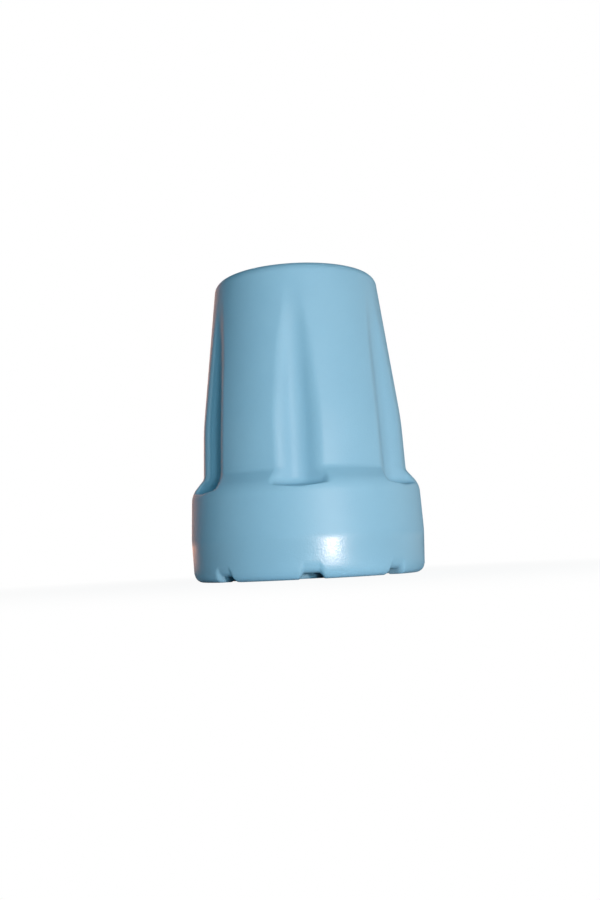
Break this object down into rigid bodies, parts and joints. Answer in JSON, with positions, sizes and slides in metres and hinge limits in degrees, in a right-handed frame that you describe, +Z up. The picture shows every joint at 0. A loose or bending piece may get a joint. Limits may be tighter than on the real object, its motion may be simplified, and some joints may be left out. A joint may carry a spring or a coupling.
{
  "type": "rubber cane tip",
  "caption": "Soft moulded foot for a walking stick: a fluted, tapered barrel with a blind bore that presses onto the shaft, over a wide round foot with a grooved, notched tread.",
  "frame": {"origin": "middle of the tread, on the axis of the bore", "axes": "+Z up along the bore's axis, from the tread towards the mouth"},
  "size_m": [0.042, 0.042, 0.0545],
  "materials": {
    "moulded_rubber": "satin, as moulded, light blue"
  },
  "bodies": {
    "root": {"cane_tip": "moulded_rubber"}
  },
  "joints": []
}
